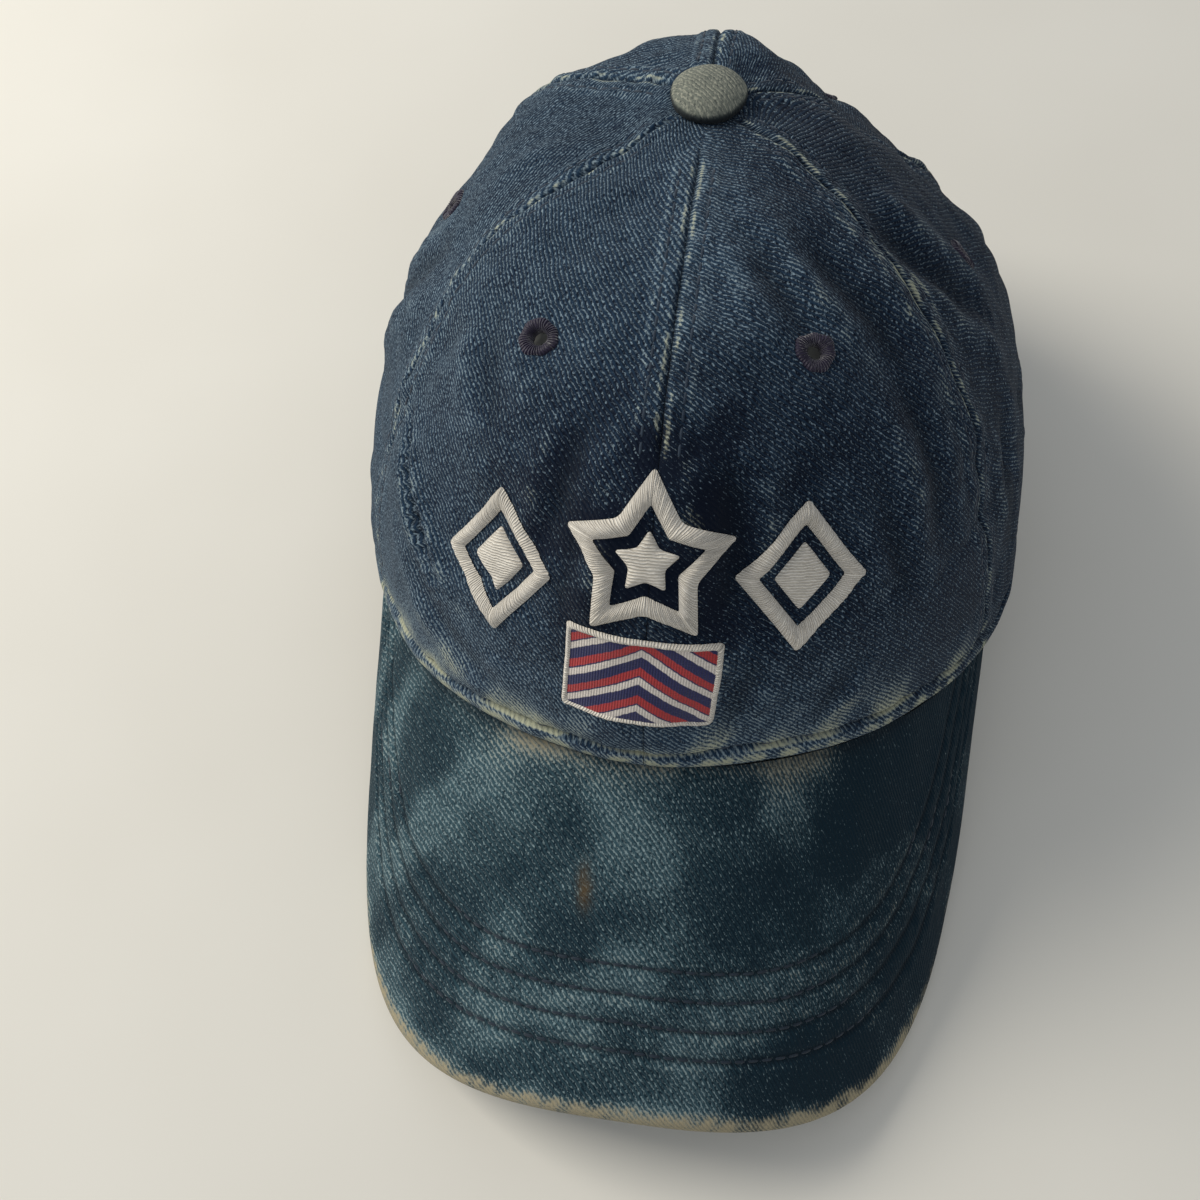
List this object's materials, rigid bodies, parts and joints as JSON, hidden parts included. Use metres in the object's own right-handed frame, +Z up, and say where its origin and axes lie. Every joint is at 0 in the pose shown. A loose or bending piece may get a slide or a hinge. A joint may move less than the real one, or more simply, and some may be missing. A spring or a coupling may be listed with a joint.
{
  "type": "baseball cap",
  "caption": "Soft six-panel baseball cap with a curved visor, raised embroidery and an adjustable strap with a brass buckle.",
  "frame": {"origin": "On the floor, under the centre of the cap's bounding box, as the cap stands on its visor's sides and the back of its rim", "axes": "+Z up, -Y to the front of the visor, +X to the right as seen from the front"},
  "size_m": [0.1709, 0.266, 0.1267],
  "materials": {
    "crown_denim": "washed indigo twill with pale flecks, worn along seams",
    "visor_denim": "washed indigo twill, paler and greyer, worn tan at the edge",
    "eyelet_thread": "dense dark embroidery",
    "seam_tape": "plain woven tape",
    "denim_thread": "matte sewing thread",
    "visor_thread": "matte sewing thread",
    "white_thread": "satin stitch",
    "sweatband_twill": "cotton twill, slightly shiny from wear",
    "backing_felt": "non-woven felt",
    "button_cloth": "worn cloth over metal",
    "board_plastic": "matte",
    "button_metal": "satin",
    "patch_cloth": "embroidered twill in blue, red and white",
    "buckle_brass": "antique brass, rubbed bright on the edges"
  },
  "bodies": {
    "cap": {"arch_binding": "crown_denim", "arch_stitching": "denim_thread", "buckle_frame": "buckle_brass", "buckle_pin": "buckle_brass", "button_cover": "button_cloth", "button_shell": "button_metal", "button_stem": "button_metal", "button_washer": "button_metal", "embroidery_backing": "backing_felt", "front_left_eyelet": "eyelet_thread", "front_left_panel": "crown_denim", "front_left_seam_tape": "seam_tape", "front_left_topstitch": "denim_thread", "front_right_eyelet": "eyelet_thread", "front_right_panel": "crown_denim", "front_right_seam_tape": "seam_tape", "front_right_topstitch": "denim_thread", "front_seam_tape": "seam_tape", "front_topstitch": "denim_thread", "hem_stitching": "denim_thread", "patch": "patch_cloth", "patch_border": "white_thread", "raised_shape_left": "white_thread", "raised_shape_middle": "white_thread", "raised_shape_right": "white_thread", "rear_left_eyelet": "eyelet_thread", "rear_left_panel": "crown_denim", "rear_left_seam_tape": "seam_tape", "rear_left_topstitch": "denim_thread", "rear_right_eyelet": "eyelet_thread", "rear_right_panel": "crown_denim", "rear_right_seam_tape": "seam_tape", "rear_right_topstitch": "denim_thread", "rear_seam_tape": "seam_tape", "rear_topstitch": "denim_thread", "side_left_eyelet": "eyelet_thread", "side_left_panel": "crown_denim", "side_right_eyelet": "eyelet_thread", "side_right_panel": "crown_denim", "strap_tab": "crown_denim", "sweatband": "sweatband_twill", "sweatband_stitching": "denim_thread", "visor_board": "board_plastic", "visor_bottom_cloth": "visor_denim", "visor_stitch_row_1": "visor_thread", "visor_stitch_row_2": "visor_thread", "visor_stitch_row_3": "visor_thread", "visor_stitch_row_4": "visor_thread", "visor_top_cloth": "visor_denim"},
    "strap": {"strap": "crown_denim", "strap_stitching": "denim_thread"},
    "lever": {"buckle_lever": "buckle_brass"}
  },
  "joints": [
    {"name": "strap_adjust", "type": "hinge", "parent": "cap", "child": "strap", "pos_m": [0, 0.05461, 0.02534], "axis": [0, 0.1951, 0.9808], "range_deg": [-8, 8]},
    {"name": "buckle_open", "type": "hinge", "parent": "cap", "child": "lever", "pos_m": [-0.00849, 0.12914, 0.01051], "axis": [0, -0.1951, -0.9808], "range_deg": [0, 95]}
  ]
}
